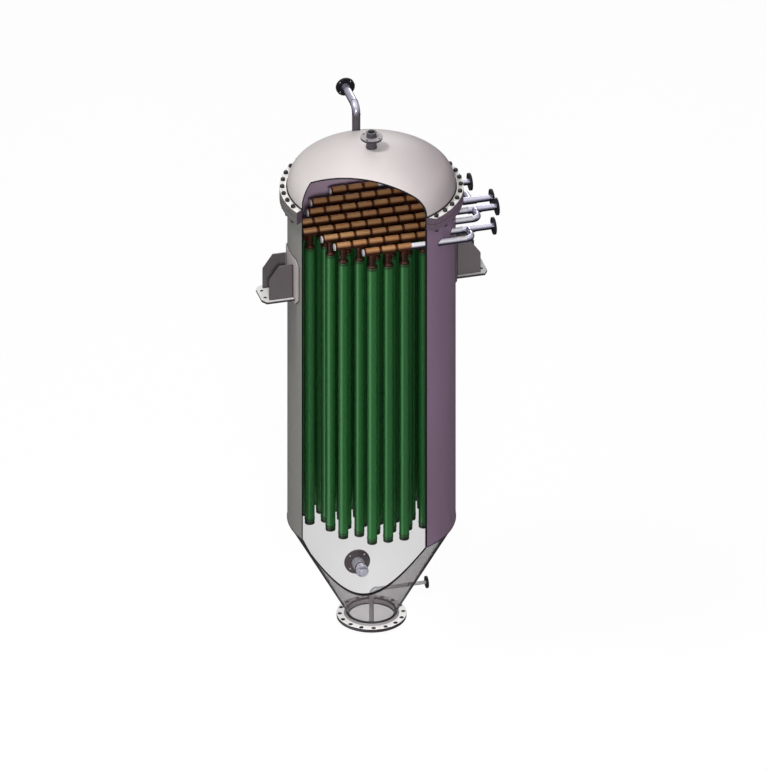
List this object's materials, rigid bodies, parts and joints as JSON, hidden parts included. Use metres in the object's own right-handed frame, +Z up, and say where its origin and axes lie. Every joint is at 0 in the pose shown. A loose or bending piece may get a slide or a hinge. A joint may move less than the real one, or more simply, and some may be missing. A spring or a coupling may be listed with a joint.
{
  "type": "candle filter",
  "caption": "Cone-bottomed candle filter with a bolted domed head, tee registers carrying hanging candles, flanged outlets and support lugs, with its front cut away.",
  "frame": {"origin": "centre of the discharge flange's lower face", "axes": "+Z up along the vessel's axis, +X along the registers towards the outlets, +Y towards the feed and vent at the back"},
  "size_m": [1.768, 1.4237, 4.1224],
  "materials": {
    "shell_steel": "satin rolled plate",
    "head_steel": "satin pressed plate",
    "cone_steel": null,
    "flange_steel": "machined, pale",
    "gasket": "flat sheet",
    "bolting": "dark coated",
    "dark_nozzle": "dark satin",
    "dark_flange": "dark satin",
    "pipe_steel": "polished tube",
    "pad_steel": "satin plate",
    "gusset_paint": "matt dark grey",
    "base_paint": "pale, machined below",
    "drain_steel": "satin tube",
    "register_pipe": "dark brown",
    "register_tee": "brown, satin",
    "candle_fitting": "dark brown, satin",
    "candle_cap": "dark",
    "clamp_steel": "band steel",
    "core_steel": "perforated tube",
    "candle_sleeve": "porous sintered plastic, satin"
  },
  "bodies": {
    "vessel": {"shell": "shell_steel", "shell_flange": "flange_steel", "head_gasket": "gasket", "head_lower_nuts": "bolting", "head_studs": "bolting", "discharge_cone": "cone_steel", "discharge_flange": "flange_steel", "lug_pads": "pad_steel", "lug_gussets": "gusset_paint", "lug_bases": "base_paint", "feed_pipe": "drain_steel", "feed_flange": "drain_steel", "drain_pipe": "drain_steel", "drain_elbow": "drain_steel", "drain_dip_pipe": "drain_steel", "drain_flange": "dark_flange", "register_pipes_1": "register_pipe", "register_pipes_2": "register_pipe", "register_pipes_3": "register_pipe", "register_pipes_4": "register_pipe", "register_pipes_5": "register_pipe", "register_pipes_6": "register_pipe", "register_pipes_7": "register_pipe", "register_pipes_8": "register_pipe", "register_tees_1": "register_tee", "register_tees_2": "register_tee", "register_tees_3": "register_tee", "register_tees_4": "register_tee", "register_tees_5": "register_tee", "register_tees_6": "register_tee", "register_tees_7": "register_tee", "register_tees_8": "register_tee", "register_end_caps": "pipe_steel", "outlet_elbows": "pipe_steel", "outlet_tees": "pipe_steel", "outlet_pipes": "pipe_steel", "outlet_flanges": "dark_flange", "candle_sleeves_1": "candle_sleeve", "candle_sleeves_2": "candle_sleeve", "candle_sleeves_3": "candle_sleeve", "candle_sleeves_4": "candle_sleeve", "candle_sleeves_5": "candle_sleeve", "candle_sleeves_6": "candle_sleeve", "candle_sleeves_7": "candle_sleeve", "candle_sleeves_8": "candle_sleeve", "candle_cores": "core_steel", "candle_heads": "candle_fitting", "candle_unions": "candle_fitting", "candle_bottom_caps": "candle_cap", "candle_clamps": "clamp_steel"},
    "head": {"head": "head_steel", "head_flange": "flange_steel", "head_upper_nuts": "bolting", "centre_nozzle_pipe": "dark_nozzle", "centre_nozzle_flange": "head_steel", "centre_nozzle_socket": "dark_nozzle", "vent_riser": "dark_nozzle", "vent_elbow": "pipe_steel", "vent_pipe": "pipe_steel", "vent_flange": "dark_flange"}
  },
  "joints": [
    {"name": "head_lift", "type": "slide", "parent": "vessel", "child": "head", "axis": [0, 0, 1], "range_m": [0, 0.6]}
  ]
}
